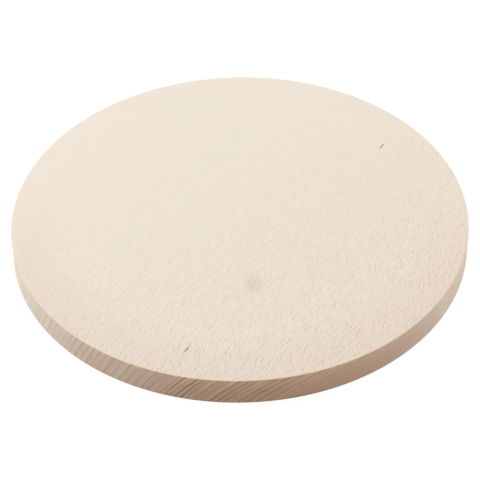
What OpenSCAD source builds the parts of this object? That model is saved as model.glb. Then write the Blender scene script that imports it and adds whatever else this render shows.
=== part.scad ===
// Round chopping board, cut from one plank of pale hardwood.
// It lies flat with its underside on z = 0 and its centre on the Z axis.
// Both faces are flat and the rim is straight, with a small round on each edge.

/* [Board] */
// Diameter across the rim
board_d = 250; // [180:1:400]
// Thickness of the plank, from the underside to the work face
board_t = 16; // [10:0.5:45]

/* [Edges] */
// Radius that eases the edge round the work face
top_ease_r = 0.6; // [0.3:0.1:4]
// Radius that eases the edge round the underside
bottom_ease_r = 0.5; // [0.3:0.1:4]

/* [Hidden] */

// Facets round the rim and round each eased edge
$fn = 240;

board_r = board_d / 2;
top_ease_z = board_t - top_ease_r;
wood_colour = [0.93, 0.88, 0.81];

// Right half of the section through the centre: a flat underside, a straight
// rim and a flat work face, joined by a quarter round at each edge
module half_section() {
    top_flat_r = board_r - top_ease_r;
    bottom_flat_r = board_r - bottom_ease_r;

    square([bottom_flat_r, top_ease_z]);
    translate([0, bottom_ease_r])
        square([top_flat_r, board_t - bottom_ease_r]);
    translate([0, bottom_ease_r])
        square([board_r, top_ease_z - bottom_ease_r]);
    translate([bottom_flat_r, bottom_ease_r])
        circle(r = bottom_ease_r);
    translate([top_flat_r, top_ease_z])
        circle(r = top_ease_r);
}

module board() {
    color(wood_colour)
        rotate_extrude()
            half_section();
}

board();
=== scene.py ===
"""Round chopping board of pale hardwood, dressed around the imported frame.

The board is one plank, cut to a disc. How its wood grew is written down once,
in the Growth class: growth rings about a pith line that lies below the board,
near one side of it, rays that run out from that line, and fibres along it. The
mesh takes its relief from Growth and the finish takes its colours from it, so a
ring that slants across the rim goes on over the eased edge.
"""

import logging
import math
from collections.abc import Callable
from dataclasses import dataclass
from enum import Enum

import bpy
from mathutils import Matrix, Vector


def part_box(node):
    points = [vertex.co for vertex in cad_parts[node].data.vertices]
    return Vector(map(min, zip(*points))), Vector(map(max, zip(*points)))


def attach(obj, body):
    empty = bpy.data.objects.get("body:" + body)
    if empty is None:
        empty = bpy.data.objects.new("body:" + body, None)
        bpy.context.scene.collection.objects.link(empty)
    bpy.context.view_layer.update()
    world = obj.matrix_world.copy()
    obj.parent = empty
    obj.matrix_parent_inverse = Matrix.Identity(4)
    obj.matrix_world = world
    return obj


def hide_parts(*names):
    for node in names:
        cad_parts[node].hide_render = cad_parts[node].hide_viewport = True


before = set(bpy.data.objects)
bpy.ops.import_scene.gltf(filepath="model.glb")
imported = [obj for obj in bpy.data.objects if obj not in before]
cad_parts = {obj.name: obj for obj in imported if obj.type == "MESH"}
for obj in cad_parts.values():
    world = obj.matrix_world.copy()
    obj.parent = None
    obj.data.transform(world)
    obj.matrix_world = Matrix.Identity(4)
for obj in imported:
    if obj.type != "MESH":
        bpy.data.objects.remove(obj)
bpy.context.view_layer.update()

LOG = logging.getLogger("chopping_board")
MM = 0.001
# Coordinates closer than this are the same place
TOUCH = 0.001 * MM

Colour = tuple[float, float, float]
# A length, a width and a height
Lengths = tuple[float, float, float]


class Dimension(Enum):
    """Which coordinates a texture follows."""

    LINE = "1D"
    PLANE = "2D"
    SPACE = "3D"


class Element(Enum):
    """What is selected in edit mode."""

    POINT = "VERT"
    EDGE = "EDGE"
    FACE = "FACE"


class Blend(Enum):
    """How one colour is laid over another."""

    COVER = "MIX"
    TINT = "MULTIPLY"


class Maths(Enum):
    """What a Math node works out."""

    ADD = "ADD"
    SUBTRACT = "SUBTRACT"
    MULTIPLY = "MULTIPLY"
    DIVIDE = "DIVIDE"
    POWER = "POWER"
    SIZE = "ABSOLUTE"
    WHOLE = "FLOOR"
    LARGER = "MAXIMUM"
    SINE = "SINE"
    ANGLE = "ARCTAN2"


def paint(red: int, green: int, blue: int) -> Colour:
    """Turns a colour as seen on a screen into a linear one, by the curve of sRGB.

    Args:
        red: Red from 0 to 255.
        green: Green from 0 to 255.
        blue: Blue from 0 to 255.

    Returns:
        The linear colour, each channel from 0 to 1.
    """
    shares = (red / 255, green / 255, blue / 255)
    return tuple(s / 12.92 if s <= 0.04045 else ((s + 0.055) / 1.055) ** 2.4 for s in shares)


@dataclass(frozen=True)
class Fade:
    """A soft step: the value at which a mask is 0, and the one at which it is 1."""

    off: float
    on: float

    def times(self, scale: float) -> "Fade":
        """Returns the step for values that are that many times as large."""
        return Fade(self.off * scale, self.on * scale)

    def plus(self, shift: float) -> "Fade":
        """Returns the step for values that are larger by that much."""
        return Fade(self.off + shift, self.on + shift)


class Signal:
    """A number that varies over the surface, for use in Python arithmetic."""

    def __init__(self, shader: "Shader", socket: bpy.types.NodeSocket) -> None:
        """Wraps an output socket of a node in that shader."""
        self.shader = shader
        self.socket = socket

    def __add__(self, other: "Signal | float") -> "Signal":
        """Returns self + other."""
        return self.shader.maths(Maths.ADD, self, other)

    def __sub__(self, other: "Signal | float") -> "Signal":
        """Returns self - other."""
        return self.shader.maths(Maths.SUBTRACT, self, other)

    def __rsub__(self, other: float) -> "Signal":
        """Returns other - self."""
        return self.shader.maths(Maths.SUBTRACT, other, self)

    def __mul__(self, other: "Signal | float") -> "Signal":
        """Returns self * other."""
        return self.shader.maths(Maths.MULTIPLY, self, other)

    def __truediv__(self, other: "Signal | float") -> "Signal":
        """Returns self / other."""
        return self.shader.maths(Maths.DIVIDE, self, other)

    def __pow__(self, power: float) -> "Signal":
        """Returns self to that power."""
        return self.shader.maths(Maths.POWER, self, power)

    def __abs__(self) -> "Signal":
        """Returns self without its sign."""
        return self.shader.maths(Maths.SIZE, self)

    __radd__ = __add__
    __rmul__ = __mul__

    def fade(self, step: Fade) -> "Signal":
        """Turns the signal into a soft mask.

        Args:
            step: Where the mask is 0 and where it is 1.

        Returns:
            A mask from 0 to 1.
        """
        node = self.shader.node(
            "ShaderNodeMapRange",
            {"interpolation_type": "SMOOTHSTEP"},
            {"Value": self, "From Min": step.off, "From Max": step.on},
        )
        return Signal(self.shader, node.outputs["Result"])


def hypot(first: Signal, second: Signal) -> Signal:
    """Returns the straight distance over two that are square to each other."""
    return (first ** 2 + second ** 2) ** 0.5


class Shader:
    """The node tree of a material or of the world."""

    def __init__(self, tree: bpy.types.NodeTree) -> None:
        """Starts with an empty tree."""
        self.tree = tree
        self.tree.nodes.clear()

    def node(
        self,
        kind: str,
        settings: dict[str, object] | None = None,
        sockets: dict[str | int, object] | None = None,
    ) -> bpy.types.Node:
        """Adds a node.

        Args:
            kind: Blender's name for the node's type.
            settings: The node's own settings, which are set first. A member of
                an Enum stands for its value.
            sockets: Values or links for its input sockets, by name or number.

        Returns:
            The new node.
        """
        node = self.tree.nodes.new(kind)
        for name, value in (settings or {}).items():
            setattr(node, name, value.value if isinstance(value, Enum) else value)
        for name, value in (sockets or {}).items():
            self.plug(node.inputs[name], value)
        return node

    def plug(self, socket: bpy.types.NodeSocket, value: object) -> None:
        """Sets or links an input socket.

        Args:
            socket: The input socket.
            value: A number, vector or colour to set it to, or a signal or an
                output socket to link it to.
        """
        if isinstance(value, Signal):
            value = value.socket
        if isinstance(value, bpy.types.NodeSocket):
            self.tree.links.new(value, socket)
        elif socket.type == "RGBA":
            socket.default_value = (*value, 1.0)
        else:
            socket.default_value = value

    def maths(self, operation: Maths, *values: Signal | float) -> Signal:
        """Returns what a Math node works out from values in order."""
        node = self.node("ShaderNodeMath", {"operation": operation}, dict(enumerate(values)))
        return Signal(self, node.outputs[0])

    def mix(
        self, share: Signal, base: object, other: object, blend: Blend = Blend.COVER
    ) -> bpy.types.NodeSocket:
        """Mixes two colours.

        Args:
            share: How much of the other colour to take, from 0 to 1.
            base: The colour where the share is 0.
            other: The colour where the share is 1, or its tint.
            blend: How the other colour is laid over the base.

        Returns:
            The mixed colour.
        """
        factor, first, second, colour_out = 0, 6, 7, 2
        node = self.node(
            "ShaderNodeMix",
            {"data_type": "RGBA", "blend_type": blend},
            {factor: share, first: base, second: other},
        )
        return node.outputs[colour_out]

    def vector(self, x: Signal, y: Signal, z: Signal | float = 0.0) -> bpy.types.NodeSocket:
        """Returns a vector made of three signals."""
        return self.node("ShaderNodeCombineXYZ", sockets={0: x, 1: y, 2: z}).outputs[0]

    def split(self, vector: bpy.types.NodeSocket) -> list[Signal]:
        """Returns the three parts of a vector or colour."""
        node = self.node("ShaderNodeSeparateXYZ", sockets={0: vector})
        return [Signal(self, out) for out in node.outputs]

    def dot(self, vector: bpy.types.NodeSocket, direction: Vector) -> Signal:
        """Returns how far a vector goes in a direction."""
        sockets = {0: vector, 1: direction}
        node = self.node("ShaderNodeVectorMath", {"operation": "DOT_PRODUCT"}, sockets)
        return Signal(self, node.outputs["Value"])

    def stretch(
        self, place: bpy.types.NodeSocket, lengths: Lengths, start: float = 0.0
    ) -> bpy.types.NodeSocket:
        """Measures a place in other units.

        Args:
            place: The place, in metres.
            lengths: The unit along each axis, in metres.
            start: How many units to add along the first axis.

        Returns:
            The place in these units.
        """
        node = self.node(
            "ShaderNodeVectorMath",
            {"operation": "MULTIPLY_ADD"},
            {0: place, 1: tuple(1 / length for length in lengths), 2: (start, 0, 0)},
        )
        return node.outputs[0]

    def noise(self, place: bpy.types.NodeSocket, detail: float = 2.0) -> Signal:
        """Adds soft noise with lumps about one unit across.

        Args:
            place: The place in these units.
            detail: How many finer layers the noise has.

        Returns:
            The noise, from 0 to 1.
        """
        node = self.node(
            "ShaderNodeTexNoise",
            {"noise_dimensions": Dimension.SPACE},
            {"Vector": place, "Scale": 1.0, "Detail": detail},
        )
        return Signal(self, node.outputs[0])

    def cells(self, place: bpy.types.NodeSocket, dimension: Dimension) -> bpy.types.Node:
        """Returns the node of a texture of cells about one unit across, flat or solid."""
        settings = {"voronoi_dimensions": dimension}
        return self.node("ShaderNodeTexVoronoi", settings, {"Vector": place, "Scale": 1.0})

    def chance(self, number: Signal, draw: int) -> Signal:
        """Draws a random share that stays the same for a whole number.

        Args:
            number: The whole number.
            draw: Which of four draws for that number this is, from 0.

        Returns:
            The share, from 0 to 1.
        """
        settings = {"noise_dimensions": Dimension.LINE}
        node = self.node("ShaderNodeTexWhiteNoise", settings, {"W": number + draw / 4})
        return Signal(self, node.outputs["Value"])


@dataclass(frozen=True)
class Swing:
    """Wide and narrow rings in turn, after good and bad years."""

    # How many rings a boundary strays
    reach: float
    # How far the swing turns for each metre from the pith line, and where it starts, in radians
    pace: float
    start: float


@dataclass(frozen=True)
class Growth:
    """How the plank's wood grew, in metres.

    Along is the fibre's direction, across lies level and square to it, and
    height is up. The pith line runs along the fibres, below the board. The
    fibres draw together a little along the plank, as in a tapering stem.
    """

    fibre_angle: float = math.radians(58.8)
    taper_length: float = 750 * MM
    pith_across: float = -116.71 * MM
    pith_height: float = -48.44 * MM
    # The ring law's number at the pith line, and how fast it rises
    first_number: float = -20.185
    rings_per_metre: float = 0.3597 / MM
    swings: tuple[Swing, ...] = (
        Swing(1.017, 0.0639 / MM, 0.440),
        Swing(0.356, 0.1549 / MM, 2.559),
        Swing(0.204, 0.2750 / MM, 1.632),
        Swing(0.177, 0.3143 / MM, -0.552),
    )
    # How late a ring turns dense
    late_power: int = 4
    # How far the rings waver and over which length, which is too fine for the mesh
    waver: float = 0.7 * MM
    waver_length: float = 5 * MM
    # Distance from the pith line over which the wood turns to pale sapwood
    sapwood: Fade = Fade(45 * MM, 170 * MM)

    @property
    def fibre(self) -> Vector:
        """The direction of the fibres in the board's frame."""
        return Vector((math.cos(self.fibre_angle), math.sin(self.fibre_angle), 0))

    @property
    def side(self) -> Vector:
        """The level direction across the fibres."""
        return Vector((-math.sin(self.fibre_angle), math.cos(self.fibre_angle), 0))

    def late_wood_at(self, point: Vector) -> float:
        """Measures how close a point is to the dense end of its growth ring.

        Args:
            point: A point of the board.

        Returns:
            A share from 0 to 1.
        """
        across = point.dot(self.side) * (1 + point.dot(self.fibre) / self.taper_length)
        distance = math.hypot(across - self.pith_across, point.z - self.pith_height)
        rings = self.first_number + distance * self.rings_per_metre
        for swing in self.swings:
            rings += swing.reach * math.sin(distance * swing.pace + swing.start)
        return (rings % 1.0) ** self.late_power


class Spot:
    """A point of the surface: its place on the board and in the grown wood."""

    def __init__(self, shader: Shader, growth: Growth) -> None:
        """Works out the point's places.

        Args:
            shader: The material's shader.
            growth: How the wood grew.
        """
        self.shader = shader
        coords = shader.node("ShaderNodeTexCoord")
        place = coords.outputs["Object"]
        self.x, self.y, self.z = shader.split(place)
        # Distance from the board's axis
        self.reach = hypot(self.x, self.y)
        # The place, turned so that its first part lies along the fibres
        self.turned = shader.node(
            "ShaderNodeMapping", sockets={"Vector": place, "Rotation": (0, 0, -growth.fibre_angle)}
        ).outputs[0]
        self.along, self.across, self.height = shader.split(self.turned)
        # Level, upright and straight distance from the pith line
        self.out = self.across * (self.along / growth.taper_length + 1) - growth.pith_across
        self.up = self.height - growth.pith_height
        self.distance = hypot(self.out, self.up)
        self.sap = self.distance.fade(growth.sapwood)
        # The ring's number, and how close its dense end is
        self.number, self.late = self._rings(growth)
        # How upright the surface is: 0 on the faces and 1 on the rim
        normal = coords.outputs["Normal"]
        self.upright = 1 - abs(shader.split(normal)[2])
        # How squarely it cuts the fibres
        self.cut = abs(shader.dot(normal, growth.fibre))

    def _rings(self, growth: Growth) -> tuple[Signal, Signal]:
        """Works out the growth rings as Growth.late_wood_at does, but lets them waver.

        Args:
            growth: How the wood grew.

        Returns:
            The ring's number, and the share of it that lies behind the point.
        """
        shader = self.shader
        waver = shader.noise(shader.stretch(self.turned, (growth.waver_length,) * 3)) - 0.5
        distance = self.distance + waver * growth.waver
        rings = distance * growth.rings_per_metre + growth.first_number
        for swing in growth.swings:
            turn = distance * swing.pace + swing.start
            rings = rings + shader.maths(Maths.SINE, turn) * swing.reach
        number = shader.maths(Maths.WHOLE, rings)
        return number, rings - number


@dataclass(frozen=True)
class Check:
    """A short dark check in the work face, which lies along the fibres."""

    x: float
    y: float
    length: float
    width: float
    depth: float
    stain: Colour
    # How far its stain goes, in halves of its length and width
    stain_reach: Fade = Fade(1.25, 0.5)

    def mask(self, spot: Spot, growth: Growth) -> Signal:
        """Works out where the check's stain lies.

        Args:
            spot: The point of the surface.
            growth: How the wood grew.

        Returns:
            A mask on both faces.
        """
        middle = Vector((self.x, self.y, 0))
        lengthwise = (spot.along - middle.dot(growth.fibre)) / (self.length / 2)
        sideways = (spot.across - middle.dot(growth.side)) / (self.width / 2)
        return hypot(lengthwise, sideways).fade(self.stain_reach)


@dataclass(frozen=True)
class Nick:
    """A small chip in the edge of the work face."""

    # Degrees to the right of the point of the rim that is nearest to the viewer
    degrees_right: float
    # Half of its length across the edge
    size: float
    # The cutter's width and height as shares of its length
    width: float = 0.45
    height: float = 0.8

    @property
    def angle(self) -> float:
        """The nick's direction from the centre, counted from +X."""
        return math.radians(self.degrees_right - 90)


@dataclass(frozen=True)
class Smudge:
    """A faint round mark on the work face."""

    x: float
    y: float
    half_width: float
    half_length: float
    share: float
    # How far it goes, in halves of its width and length
    reach: Fade = Fade(1.2, 0.45)

    def mask(self, spot: Spot) -> Signal:
        """Returns where the smudge lies, on both faces."""
        away = hypot((spot.x - self.x) / self.half_width, (spot.y - self.y) / self.half_length)
        return away.fade(self.reach)


@dataclass(frozen=True)
class Lumps:
    """Soft noise in lumps of one size, used as a mask."""

    # Along the fibres, across them and upright
    lengths: Lengths
    step: Fade
    share: float
    detail: float = 2.0
    start: float = 0.0

    def mask(self, spot: Spot) -> Signal:
        """Returns the mask, from 0 to its share."""
        place = spot.shader.stretch(spot.turned, self.lengths, self.start)
        return spot.shader.noise(place, self.detail).fade(self.step) * self.share


@dataclass(frozen=True)
class Flecks:
    """Fine dark flecks that rays leave on a face, each with painted highlights at its sides.

    Every fleck lies in the middle of a cell. Lively wood shows more of them.
    """

    cell_width: float
    cell_length: float
    # Chance below which a cell has no fleck
    least: float
    # How far the dark core goes from its middle line
    core: Fade = Fade(0.1 * MM, 0.04 * MM)
    # How far a fleck goes from its middle, in lengths of the cell
    ends: Fade = Fade(0.42, 0.25)
    # The painted highlights, in widths of the cell: their distance from the core, how much nearer
    # one of them is than that, and how far each goes from its own middle line
    side_distance: float = 0.42
    side_shift: float = 0.05
    side: Fade = Fade(0.2, 0.06)
    # Chance of a painted glint, a pale dash, in the fleck's place
    dash: Fade = Fade(0.85, 1.0)
    # How much calm wood takes from the chances of a fleck and of a dash
    calm_loss: float = 0.2
    calm_dash_loss: float = 0.1
    # How strong a fleck is in calm wood, and how much lively wood adds
    calm_strength: float = 0.55
    lively_gain: float = 0.6

    def masks(self, spot: Spot, lively: Signal) -> tuple[Signal, Signal]:
        """Works out the flecks.

        Args:
            spot: The point of the surface.
            lively: How many rays show, from 0 to 1.

        Returns:
            A mask of the dark cores, and one of the painted highlights at their sides and of the
            painted glint dashes.
        """
        shader = spot.shader
        across, along = spot.out / self.cell_width, spot.along / self.cell_length
        cells = shader.cells(shader.vector(across, along), Dimension.PLANE)
        middle = shader.split(cells.outputs["Position"])
        chances = shader.split(cells.outputs["Color"])
        sideways = across - middle[0]
        ends = abs(along - middle[1]).fade(self.ends)

        shown = (chances[0] + lively * self.calm_loss - self.calm_loss).fade(Fade(self.least, 1.0))
        strength = shown * (lively * self.lively_gain + self.calm_strength) * ends
        core = abs(sideways).fade(self.core.times(1 / self.cell_width))
        side = abs(abs(sideways + self.side_shift) - self.side_distance).fade(self.side)
        dashed = (chances[1] + lively * self.calm_dash_loss - self.calm_dash_loss).fade(self.dash)
        return core * strength, side * strength + core * dashed * ends


@dataclass(frozen=True)
class Ticks:
    """Short ends of rays on the rim, which point away from the pith line."""

    # Cells for each radian about the pith line, and their size along the fibres and outwards
    per_radian: float = 60
    width: float = 1.3 * MM
    length: float = 7 * MM
    # Chance of one, and how far it goes from the middle of its cell
    chance: Fade = Fade(0.35, 1.0)
    reach: Fade = Fade(0.38, 0.12)

    def mask(self, spot: Spot) -> Signal:
        """Works out where the ticks lie.

        Args:
            spot: The point of the surface.

        Returns:
            A mask over the whole surface.
        """
        shader = spot.shader
        turn = shader.maths(Maths.ANGLE, spot.out, spot.up) * self.per_radian
        place = shader.vector(turn, spot.along / self.width, spot.distance / self.length)
        cells = shader.cells(place, Dimension.SPACE)
        strength = shader.split(cells.outputs["Color"])[0].fade(self.chance)
        return Signal(shader, cells.outputs["Distance"]).fade(self.reach) * strength


@dataclass(frozen=True)
class FaceGrain:
    """The wood where it is cut along the fibres: pale, with soft clouds and fine fibres."""

    # Near the pith and far from it
    inner: Colour = paint(238, 224, 209)
    outer: Colour = paint(237, 226, 211)
    # The clouds, the veils between them and the fibres, each with its colour
    warm: Colour = paint(240, 223, 207)
    cool: Colour = paint(235, 227, 211)
    fibre: Colour = paint(150, 113, 66)
    clouds: Lumps = Lumps((40 * MM, 14 * MM, 14 * MM), Fade(0.45, 0.7), 0.3)
    veils: Lumps = Lumps((60 * MM, 10 * MM, 10 * MM), Fade(0.5, 0.75), 0.25, start=7)
    fibres: Lumps = Lumps((3 * MM, 0.6 * MM, 0.6 * MM), Fade(0.5, 0.9), 0.04, detail=3.0)
    # The faint line at the end of a ring
    line_power: int = 5
    line_share: float = 0.03

    def colour(self, spot: Spot) -> bpy.types.NodeSocket:
        """Works out the colour.

        Args:
            spot: The point of the surface.

        Returns:
            The colour.
        """
        shader = spot.shader
        colour = shader.mix(spot.sap, self.inner, self.outer)
        layers = ((self.clouds, self.warm), (self.veils, self.cool), (self.fibres, self.fibre))
        for lumps, tone in layers:
            colour = shader.mix(lumps.mask(spot), colour, tone)
        return shader.mix(spot.late ** self.line_power * self.line_share, colour, self.fibre)


@dataclass(frozen=True)
class EndGrain:
    """The wood where it is cut across the fibres, as on most of the rim.

    Each ring has a tint of its own, between brown, olive and pink, and a dark
    line at its end. The young wood near the pith has few ring lines, and fine
    upright hairs in their place.
    """

    # Near the pith, far from it, and the painted light on the upper rim by the work face
    inner: Colour = paint(228, 176, 143)
    outer: Colour = paint(239, 219, 198)
    pale: Colour = paint(254, 221, 187)
    line: Colour = paint(116, 80, 60)
    # What a tint lets through of red, green and blue
    tints: tuple[Colour, ...] = ((0.89, 0.97, 0.86), (1.0, 0.89, 0.94))
    # Distances from the pith line at which wood counts as young, grown and old
    young: Fade = Fade(84 * MM, 56 * MM)
    grown: Fade = Fade(98 * MM, 125 * MM)
    old: Fade = Fade(140 * MM, 175 * MM)
    # How much more alike the tints of young rings are
    young_evenness: float = 0.75
    # Where the painted light on the upper part of the rim lies, in thicknesses of the board
    lit_top_height: Fade = Fade(0.45, 1.0)
    lit_top_share: float = 0.36
    # How strong the lines are: the least, what chance adds, a gain, and what each age takes
    line_least: float = 0.55
    line_spread: float = 0.7
    line_gain: float = 1.2
    young_loss: float = 0.85
    grown_loss: float = 0.5
    old_loss: float = 0.35
    # The soft rise towards a ring's line, and the line
    rise_share: float = 0.08
    line_power: int = 5
    line_share: float = 0.55
    # Fine lines beside the ring's own: their width, their height, how they change outwards
    fine_width: float = 0.6 * MM
    fine_height: float = 10 * MM
    fine_change: float = 8
    fine_detail: float = 3.0
    fine: Fade = Fade(0.42, 0.75)
    fine_share: float = 0.36
    hairs: Lumps = Lumps((1 * MM, 1 * MM, 9 * MM), Fade(0.48, 0.72), 0.2, detail=3.0)
    # The painted shade along the bottom edge, where the rim turns under
    bottom_shade_height: Fade = Fade(1.3 * MM, 0.1 * MM)
    bottom_shade_share: float = 0.25

    def colour(self, spot: Spot, thickness: float) -> bpy.types.NodeSocket:
        """Works out the colour.

        Args:
            spot: The point of the surface.
            thickness: The board's thickness.

        Returns:
            The colour.
        """
        shader = spot.shader
        young = spot.distance.fade(self.young)
        colour = shader.mix(spot.sap, self.inner, self.outer)
        for draw, tint in enumerate(self.tints):
            own = shader.chance(spot.number, draw) * (1 - young * self.young_evenness)
            share = own + young * (self.young_evenness / 2)
            colour = shader.mix(share, colour, tint, Blend.TINT)
        # Painted light: the upper part of the rim is lighter, as if lit more from above
        lit_top = spot.height.fade(self.lit_top_height.times(thickness))
        colour = shader.mix(lit_top * self.lit_top_share, colour, self.pale)

        strength = self._line_strength(spot, young)
        ring = spot.late * self.rise_share + spot.late ** self.line_power * self.line_share
        colour = shader.mix(ring * strength, colour, self.line)
        across, upward = spot.distance / self.fine_width, spot.height / self.fine_height
        place = shader.vector(across, upward, spot.sap * self.fine_change)
        fine = shader.noise(place, self.fine_detail).fade(self.fine)
        colour = shader.mix(fine * strength * self.fine_share, colour, self.line)
        colour = shader.mix(self.hairs.mask(spot) * young, colour, self.line)
        # Painted shade along the bottom edge of the rim
        return shader.mix(spot.height.fade(self.bottom_shade_height) * self.bottom_shade_share, colour, self.line)

    def _line_strength(self, spot: Spot, young: Signal) -> Signal:
        """Works out how strong the lines of a ring are.

        Args:
            spot: The point of the surface.
            young: How young the wood is, from 0 to 1.

        Returns:
            The strength, about 1.
        """
        chance = spot.shader.chance(spot.number, len(self.tints))
        strength = chance * self.line_spread + self.line_least
        strength = strength * (1 - spot.distance.fade(self.old) * self.old_loss)
        strength = strength * (self.line_gain - young * self.young_loss)
        return strength * (1 - spot.distance.fade(self.grown) * self.grown_loss)


@dataclass(frozen=True)
class SandedWood:
    """The finish: bare sanded wood, pale on the faces and darker on end grain."""

    growth: Growth
    radius: float
    thickness: float
    checks: tuple[Check, ...]
    smudge: Smudge
    face: FaceGrain = FaceGrain()
    end: EndGrain = EndGrain()
    ticks: Ticks = Ticks()
    flecks: tuple[Flecks, ...] = (
        Flecks(0.8 * MM, 2.7 * MM, 0.62),
        Flecks(1.2 * MM, 4.3 * MM, 0.48),
    )
    fleck_colour: Colour = paint(150, 113, 66)
    fleck_share: float = 1.1
    # The colour of the painted highlights and glints of the flecks
    glint_colour: Colour = paint(250, 243, 230)
    glint_share: float = 0.6
    tick_share: float = 0.5
    # The way towards lively wood, and where along it the wood is calm and lively, in radii
    lively_way: tuple[float, float] = (0.4, -0.85)
    lively_reach: Fade = Fade(-0.8, 0.9)
    # Where the surface counts as rim and as face, by how upright it is
    rim_turn: Fade = Fade(0.15, 0.6)
    face_turn: Fade = Fade(0.2, 0.05)
    # The rim where the fibres run along it, how much end grain shows there, and how fast
    # end grain takes over where the rim cuts the fibres
    side_grain: Colour = paint(245, 228, 204)
    least_end_grain: float = 0.25
    cut_power: float = 0.55
    # The darker band along the near edge of the face: its distance from the centre and its side, in
    # radii
    near_edge_colour: Colour = paint(230, 211, 194)
    near_edge_reach: Fade = Fade(0.7, 0.97)
    near_edge_side: Fade = Fade(0.3, -0.5)
    near_edge_share: float = 0.5
    # The painted highlight along the near edge of the work face: its place, from the rim and from
    # the work face, and its side, in radii
    edge_highlight_colour: Colour = paint(253, 221, 193)
    edge_highlight_reach: Fade = Fade(-1.3 * MM, -0.6 * MM)
    edge_highlight_height: Fade = Fade(-0.4 * MM, -0.1 * MM)
    edge_highlight_side: Fade = Fade(-0.5, -0.9)
    edge_highlight_share: float = 0.7
    grime: Colour = paint(158, 128, 108)
    # The height at which the marks show, from the work face
    mark_height: Fade = Fade(-1.0 * MM, -0.6 * MM)
    face_roughness: float = 0.65
    rim_roughness: float = 0.35
    gloss: float = 0.3
    sheen: float = 0.1
    sheen_roughness: float = 0.4
    # The bump, and what each feature adds to its height
    bump_strength: float = 0.35
    bump_depth: float = 0.15 * MM
    fleck_relief: float = -0.25
    late_relief: float = -0.4
    pore_relief: float = 0.12
    pore_lengths: Lengths = (1.6 * MM, 0.4 * MM, 0.4 * MM)

    def dress(self, piece: bpy.types.Object) -> None:
        """Gives the piece this finish.

        Args:
            piece: The piece, with its place in its mesh.
        """
        material = bpy.data.materials.new("sanded_wood")
        material.use_nodes = True
        shader = Shader(material.node_tree)
        spot = Spot(shader, self.growth)
        on_rim = spot.upright.fade(self.rim_turn)
        on_face = spot.upright.fade(self.face_turn)
        facing = spot.cut ** self.cut_power
        end_grain = (facing * (1 - self.least_end_grain) + self.least_end_grain) * on_rim

        colour = self.face.colour(spot)
        colour = shader.mix(self._near_edge(spot), colour, self.near_edge_colour)
        colour = shader.mix(on_rim, colour, self.side_grain)
        colour = shader.mix(end_grain, colour, self.end.colour(spot, self.thickness))

        lively = self._liveliness(spot)
        fleck, glint = map(sum, zip(*(layer.masks(spot, lively) for layer in self.flecks)))
        tick = self.ticks.mask(spot) * spot.upright * (1 - facing)
        colour = shader.mix(fleck * on_face * self.fleck_share, colour, self.fleck_colour)
        # Painted highlights beside the flecks, and painted glints
        colour = shader.mix(glint * on_face * self.glint_share, colour, self.glint_colour)
        colour = shader.mix(tick * self.tick_share, colour, self.end.line)
        # Painted highlight along the near eased edge of the work face
        colour = shader.mix(self._edge_highlight(spot), colour, self.edge_highlight_colour)
        colour = self._marks(spot, colour)

        pores = shader.noise(shader.stretch(spot.turned, self.pore_lengths))
        relief = fleck * on_face * self.fleck_relief + spot.late * end_grain * self.late_relief
        relief = relief + pores * self.pore_relief
        bump = shader.node(
            "ShaderNodeBump",
            sockets={"Strength": self.bump_strength, "Distance": self.bump_depth, "Height": relief},
        )
        roughness = spot.upright * (self.rim_roughness - self.face_roughness) + self.face_roughness
        surface = shader.node(
            "ShaderNodeBsdfPrincipled",
            sockets={
                "Base Color": colour,
                "Roughness": roughness,
                "Specular IOR Level": self.gloss,
                "Sheen Weight": self.sheen,
                "Sheen Roughness": self.sheen_roughness,
                "Normal": bump.outputs[0],
            },
        )
        shader.node("ShaderNodeOutputMaterial", sockets={"Surface": surface.outputs[0]})
        piece.data.materials.clear()
        piece.data.materials.append(material)

    def _liveliness(self, spot: Spot) -> Signal:
        """Returns how strongly the rays show, which grows from the far left to the near right."""
        way = spot.x * self.lively_way[0] + spot.y * self.lively_way[1]
        return way.fade(self.lively_reach.times(self.radius))

    def _near_edge(self, spot: Spot) -> Signal:
        """Returns a mask of the near edge of the face, which is darker there."""
        near = spot.y.fade(self.near_edge_side.times(self.radius))
        return spot.reach.fade(self.near_edge_reach.times(self.radius)) * near * self.near_edge_share

    def _edge_highlight(self, spot: Spot) -> Signal:
        """Works out where a highlight is painted along the near edge of the work face.

        Args:
            spot: The point of the surface.

        Returns:
            A mask of the near half of the edge.
        """
        edge = spot.reach.fade(self.edge_highlight_reach.plus(self.radius))
        high = spot.z.fade(self.edge_highlight_height.plus(self.thickness))
        near = spot.y.fade(self.edge_highlight_side.times(self.radius))
        return edge * high * near * self.edge_highlight_share

    def _marks(self, spot: Spot, colour: bpy.types.NodeSocket) -> bpy.types.NodeSocket:
        """Adds the dark checks and the faint smudge of the work face.

        Args:
            spot: The point of the surface.
            colour: The colour without them.

        Returns:
            The colour with them.
        """
        high = spot.z.fade(self.mark_height.plus(self.thickness))
        for check in self.checks:
            colour = spot.shader.mix(check.mask(spot, self.growth) * high, colour, check.stain)
        share = self.smudge.mask(spot) * high * self.smudge.share
        return spot.shader.mix(share, colour, self.grime)


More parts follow.
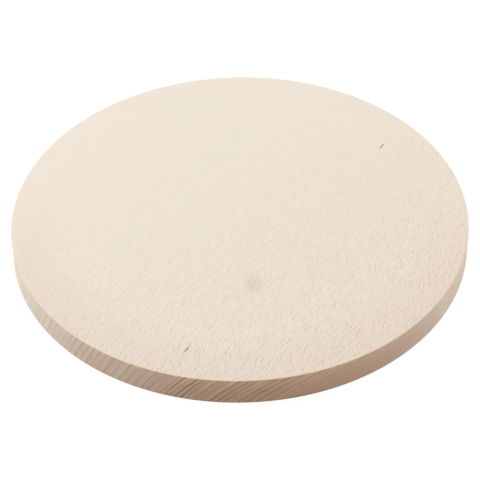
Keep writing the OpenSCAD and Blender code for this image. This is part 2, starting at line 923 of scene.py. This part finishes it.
@dataclass
class Board:
    """The one piece of the object: a plank cut to a disc, with eased edges."""

    growth: Growth
    radius: float
    thickness: float
    checks: tuple[Check, ...]
    nicks: tuple[Nick, ...]
    top_ease: float = 0.6 * MM
    bottom_ease: float = 0.5 * MM
    ease_steps: int = 4
    # Points round the rim, a multiple of 4
    rim_points: int = 640
    rim_rows: int = 14
    # Ring of faces between each eased edge and the grid inside it
    margin: float = 2.5 * MM
    # How often the grid's points move towards the middle of their neighbours
    grid_rounds: int = 40
    # How deep the late wood lies on the sanded rim, and on the faces
    rim_relief: float = 0.04 * MM
    face_relief: float = 0.02 * MM
    # How far a nick's middle lies inside the rim and under the work face
    nick_sink: float = 0.1 * MM
    cutter_sides: int = 16
    # Faces that meet at more than this are shaded apart
    crisp_angle: float = math.radians(35)

    def make(self) -> bpy.types.Object:
        """Builds the board.

        Returns:
            The board, with its place in its mesh.
        """
        board = self._cut_disc()
        self._ease_edge(board, self.thickness, self.top_ease)
        self._ease_edge(board, 0.0, self.bottom_ease)
        self._divide_rim()
        self._fill_face(board, self.thickness)
        self._fill_face(board, 0.0)
        self._sand(board)
        self._carve(board)
        self._smooth(board)
        LOG.info("%s: %d faces", board.name, len(board.data.polygons))
        return board

    def _select(
        self, board: bpy.types.Object, element: Element, wanted: Callable[..., bool]
    ) -> None:
        """Selects points, edges or faces, and leaves the board in edit mode.

        Args:
            board: The board, in any mode.
            element: What to select.
            wanted: A test of a point's place, of an edge's two points or of a face.
        """
        bpy.ops.object.mode_set(mode="EDIT")
        bpy.ops.mesh.select_mode(type=element.value)
        bpy.ops.mesh.select_all(action="DESELECT")
        bpy.ops.object.mode_set(mode="OBJECT")
        mesh = board.data
        points = [vertex.co for vertex in mesh.vertices]
        if element is Element.POINT:
            for vertex in mesh.vertices:
                vertex.select = wanted(vertex.co)
        elif element is Element.EDGE:
            for edge in mesh.edges:
                edge.select = wanted(*(points[i] for i in edge.vertices))
        else:
            for face in mesh.polygons:
                face.select = wanted(face)
        bpy.ops.object.mode_set(mode="EDIT")

    def _cut_disc(self) -> bpy.types.Object:
        """Adds a disc and insets its two faces.

        Returns:
            The disc, with its underside on z = 0.
        """
        bpy.ops.object.select_all(action="DESELECT")
        bpy.ops.mesh.primitive_cylinder_add(
            vertices=self.rim_points,
            radius=self.radius,
            depth=self.thickness,
            end_fill_type="NGON",
            location=(0, 0, self.thickness / 2),
        )
        board = bpy.context.active_object
        board.name = board.data.name = "plank_disc"
        bpy.ops.object.transform_apply(location=True, rotation=True, scale=True)
        self._select(board, Element.FACE, lambda face: len(face.vertices) == self.rim_points)
        bpy.ops.mesh.inset(thickness=self.margin)
        bpy.ops.object.mode_set(mode="OBJECT")
        return board

    def _ease_edge(self, board: bpy.types.Object, level: float, ease: float) -> None:
        """Rounds a sharp edge.

        Args:
            board: The board.
            level: The height of the edge.
            ease: The radius of the round.
        """

        def sharp(*ends: Vector) -> bool:
            """Tells whether an edge is part of that sharp edge."""
            return all(abs(p.z - level) < TOUCH and p.xy.length > self.radius - TOUCH for p in ends)

        self._select(board, Element.EDGE, sharp)
        bpy.ops.mesh.bevel(offset=ease, segments=self.ease_steps, profile=0.5, affect="EDGES")
        bpy.ops.object.mode_set(mode="OBJECT")

    def _divide_rim(self) -> None:
        """Cuts the rim of the active board into level rows."""
        low, high = self.bottom_ease, self.thickness - self.top_ease
        bpy.ops.object.mode_set(mode="EDIT")
        for row in range(1, self.rim_rows):
            bpy.ops.mesh.select_all(action="SELECT")
            level = low + (high - low) * row / self.rim_rows
            bpy.ops.mesh.bisect(plane_co=(0, 0, level), plane_no=(0, 0, 1))
        bpy.ops.object.mode_set(mode="OBJECT")

    def _fill_face(self, board: bpy.types.Object, level: float) -> None:
        """Replaces one large face by an even grid.

        Args:
            board: The board.
            level: The height of the face.
        """
        inner = self.radius - self.margin

        def large(face: bpy.types.MeshPolygon) -> bool:
            """Tells whether a face is the large one."""
            return len(face.vertices) == self.rim_points and abs(face.center.z - level) < TOUCH

        def around(*ends: Vector) -> bool:
            """Tells whether an edge is one of the loop that the large face leaves."""
            return all(abs(p.z - level) < TOUCH and p.xy.length < inner + TOUCH for p in ends)

        def within(point: Vector) -> bool:
            """Tells whether a point lies inside that loop."""
            return abs(point.z - level) < TOUCH and point.xy.length < inner - TOUCH

        self._select(board, Element.FACE, large)
        bpy.ops.mesh.delete(type="ONLY_FACE")
        bpy.ops.object.mode_set(mode="OBJECT")
        self._select(board, Element.EDGE, around)
        bpy.ops.mesh.fill_grid(span=self.rim_points // 4)
        bpy.ops.object.mode_set(mode="OBJECT")
        self._select(board, Element.POINT, within)
        bpy.ops.mesh.vertices_smooth(factor=0.5, repeat=self.grid_rounds, zaxis=False)
        bpy.ops.object.mode_set(mode="OBJECT")

    def _sand(self, board: bpy.types.Object) -> None:
        """Lets the late wood of each ring lie a little lower, as sanding leaves it.

        Args:
            board: The board.
        """
        group = board.vertex_groups.new(name="late_wood")
        deepest = max(self.rim_relief, self.face_relief)
        for vertex in board.data.vertices:
            upright = 1 - abs(vertex.normal.z)
            depth = self.face_relief + (self.rim_relief - self.face_relief) * upright
            weight = self.growth.late_wood_at(vertex.co) * depth / deepest
            group.add([vertex.index], weight, "REPLACE")
        sanding = board.modifiers.new("sanding", "DISPLACE")
        sanding.vertex_group = group.name
        sanding.direction = "NORMAL"
        sanding.mid_level = 0.0
        sanding.strength = -deepest
        bpy.ops.object.modifier_apply(modifier=sanding.name)
        board.vertex_groups.clear()

    def _carve(self, board: bpy.types.Object) -> None:
        """Cuts the checks and nicks out of the board.

        Args:
            board: The board.
        """
        cutters = [self._check_cutter(check) for check in self.checks]
        cutters += [self._nick_cutter(nick) for nick in self.nicks]
        for cutter in cutters:
            bpy.ops.object.select_all(action="DESELECT")
            bpy.context.view_layer.objects.active = board
            cut = board.modifiers.new("cut", "BOOLEAN")
            cut.operation = "DIFFERENCE"
            cut.solver = "EXACT"
            cut.object = cutter
            bpy.ops.object.modifier_apply(modifier=cut.name)
            bpy.data.objects.remove(cutter)

    def _cutter(self, place: Vector, half: Lengths, angle: float) -> bpy.types.Object:
        """Adds an egg-shaped cutter.

        Args:
            place: Its middle.
            half: Half of its length, width and height.
            angle: How far its length is turned from +X.

        Returns:
            The cutter.
        """
        bpy.ops.object.select_all(action="DESELECT")
        bpy.ops.mesh.primitive_uv_sphere_add(
            segments=self.cutter_sides,
            ring_count=self.cutter_sides // 2,
            radius=1.0,
            location=place,
            rotation=(0, 0, angle),
            scale=half,
        )
        return bpy.context.active_object

    def _check_cutter(self, check: Check) -> bpy.types.Object:
        """Adds the cutter of one check, which lies along the fibres.

        Args:
            check: The check.

        Returns:
            The cutter.
        """
        place = Vector((check.x, check.y, self.thickness))
        half = (check.length / 2, check.width / 2, check.depth)
        return self._cutter(place, half, self.growth.fibre_angle)

    def _nick_cutter(self, nick: Nick) -> bpy.types.Object:
        """Adds the cutter of one nick, which lies across the edge.

        Args:
            nick: The nick.

        Returns:
            The cutter.
        """
        reach = self.radius - self.nick_sink
        place = Vector((reach * math.cos(nick.angle), reach * math.sin(nick.angle), 0))
        place.z = self.thickness - self.nick_sink
        half = (nick.size, nick.size * nick.width, nick.size * nick.height)
        return self._cutter(place, half, nick.angle)

    def _smooth(self, board: bpy.types.Object) -> None:
        """Shades the board smoothly, with crisp checks and nicks.

        Args:
            board: The board.
        """
        bpy.ops.object.select_all(action="DESELECT")
        board.select_set(True)
        bpy.context.view_layer.objects.active = board
        bpy.ops.object.shade_smooth_by_angle(angle=self.crisp_angle)


@dataclass(frozen=True)
class Softbox:
    """A square lamp with a soft light."""

    name: str
    place: tuple[float, float, float]
    size: float
    # In watts
    power: float

    def hang(self, aim: Vector) -> None:
        """Adds the lamp.

        Args:
            aim: The point that it is turned towards.
        """
        lamp = bpy.data.lights.new(self.name, "AREA")
        lamp.shape = "SQUARE"
        lamp.size = self.size
        lamp.energy = self.power
        holder = bpy.data.objects.new(self.name, lamp)
        holder.location = self.place
        holder.rotation_euler = (aim - Vector(self.place)).to_track_quat("-Z", "Y").to_euler()
        bpy.context.scene.collection.objects.link(holder)


@dataclass(frozen=True)
class Viewpoint:
    """Where the photograph was taken from."""

    elevation: float = math.radians(41.48)
    # The camera looks a little below the centre of the work face
    aim_drop: float = math.radians(0.645)
    roll: float = math.radians(-1.08)
    radii_away: float = 9.1
    lens_mm: float = 155.7
    sensor_mm: float = 36.0
    nearest: float = 10 * MM

    def stand(self, target: Vector, radius: float) -> None:
        """Sets the scene's camera up.

        Args:
            target: The centre of the work face.
            radius: The board's radius.
        """
        data = bpy.data.cameras.new("camera")
        data.sensor_width = self.sensor_mm
        data.lens = self.lens_mm
        data.clip_start = self.nearest
        camera = bpy.data.objects.new("camera", data)
        tilt = math.pi / 2 - self.elevation - self.aim_drop
        turn = Matrix.Rotation(tilt, 4, "X") @ Matrix.Rotation(self.roll, 4, "Z")
        back = Vector((0, -math.cos(self.elevation), math.sin(self.elevation)))
        camera.matrix_world = Matrix.Translation(target + back * self.radii_away * radius) @ turn
        bpy.context.scene.collection.objects.link(camera)
        bpy.context.scene.camera = camera


@dataclass(frozen=True)
class Studio:
    """A pale floor, soft lamps and an even surrounding light."""

    softboxes: tuple[Softbox, ...] = (
        Softbox("overhead", place=(-0.35, 0.45, 1.3), size=1.2, power=6.1),
        Softbox("left", place=(-1.2, 0.25, 0.45), size=0.9, power=6.9),
        Softbox("right", place=(1.2, 0.6, 0.45), size=0.9, power=6.5),
    )
    floor_size: float = 8.0
    # Just under the board, so that the two faces don't lie in one plane
    floor_level: float = -0.1 * MM
    # What the floor sends back to the board
    floor_grey: float = 0.5
    # What it shows to the camera: a glow, and a grey that takes the shadow
    floor_glow: float = 0.93
    floor_shadow_grey: float = 0.12
    world_light: float = 0.55
    white: Colour = (1.0, 1.0, 1.0)

    def light(self, aim: Vector) -> None:
        """Lays the floor, lights the surroundings and hangs the lamps.

        Args:
            aim: The point that the lamps are turned towards.
        """
        self._lay_floor()
        self._light_world()
        for softbox in self.softboxes:
            softbox.hang(aim)

    def _seen_directly(self, shader: Shader) -> Signal:
        """Tells what the camera sees, straight or through a gloss or glass.

        Args:
            shader: The shader that asks.

        Returns:
            1 where it is seen so, and otherwise 0.
        """
        path = shader.node("ShaderNodeLightPath")
        seen = Signal(shader, path.outputs["Is Camera Ray"])
        for kind in ("Glossy", "Transmission"):
            ray = Signal(shader, path.outputs[f"Is {kind} Ray"])
            seen = shader.maths(Maths.LARGER, seen, ray)
        return seen

    def _lay_floor(self) -> None:
        """Adds the floor, which looks white and keeps a faint shadow."""
        bpy.ops.object.select_all(action="DESELECT")
        bpy.ops.mesh.primitive_plane_add(size=self.floor_size, location=(0, 0, self.floor_level))
        floor = bpy.context.active_object
        floor.name = "floor"
        material = bpy.data.materials.new("floor")
        material.use_nodes = True
        shader = Shader(material.node_tree)
        plain, shadow = (
            shader.node("ShaderNodeBsdfDiffuse", sockets={"Color": (grey,) * 3}).outputs[0]
            for grey in (self.floor_grey, self.floor_shadow_grey)
        )
        glow = shader.node(
            "ShaderNodeEmission", sockets={"Color": self.white, "Strength": self.floor_glow}
        ).outputs[0]
        shown = shader.node("ShaderNodeAddShader", sockets={0: shadow, 1: glow}).outputs[0]
        seen = self._seen_directly(shader)
        mixed = shader.node("ShaderNodeMixShader", sockets={0: seen, 1: plain, 2: shown})
        shader.node("ShaderNodeOutputMaterial", sockets={"Surface": mixed.outputs[0]})
        floor.data.materials.append(material)

    def _light_world(self) -> None:
        """Makes the surroundings white to look at and softer as a light."""
        world = bpy.data.worlds.new("surroundings")
        world.use_nodes = True
        bpy.context.scene.world = world
        shader = Shader(world.node_tree)
        strength = self._seen_directly(shader) * (1 - self.world_light) + self.world_light
        sockets = {"Color": self.white, "Strength": strength}
        sky = shader.node("ShaderNodeBackground", sockets=sockets)
        shader.node("ShaderNodeOutputWorld", sockets={"Surface": sky.outputs[0]})


def main() -> None:
    """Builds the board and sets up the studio."""
    logging.basicConfig(level=logging.INFO, format="%(name)s: %(message)s")
    low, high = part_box("board")
    radius = min(high.x, high.y, -low.x, -low.y)
    thickness = high.z
    face_centre = Vector((0, 0, thickness))

    growth = Growth()
    checks = (
        Check(
            x=-0.227 * radius,
            y=-0.814 * radius,
            length=5.0 * MM,
            width=0.65 * MM,
            depth=0.3 * MM,
            stain=paint(106, 80, 48),
        ),
        Check(
            x=0.654 * radius,
            y=0.467 * radius,
            length=5.2 * MM,
            width=0.8 * MM,
            depth=0.22 * MM,
            stain=paint(158, 92, 68),
        ),
    )
    nicks = (Nick(11.6, 0.55 * MM), Nick(15.3, 0.7 * MM), Nick(32.1, 0.5 * MM))
    smudge = Smudge(
        x=0.058 * radius, y=-0.433 * radius, half_width=5.4 * MM, half_length=8.4 * MM, share=0.14
    )

    board = Board(growth, radius, thickness, checks, nicks).make()
    SandedWood(growth, radius, thickness, checks, smudge).dress(board)
    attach(board, "root")
    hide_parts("board")
    LOG.info("%s rides on root and replaces board", board.name)

    Studio().light(face_centre)
    Viewpoint().stand(face_centre, radius)
    bpy.context.scene.view_settings.view_transform = "Standard"
    LOG.info("studio and camera are set")


if __name__ == "__main__":
    main()
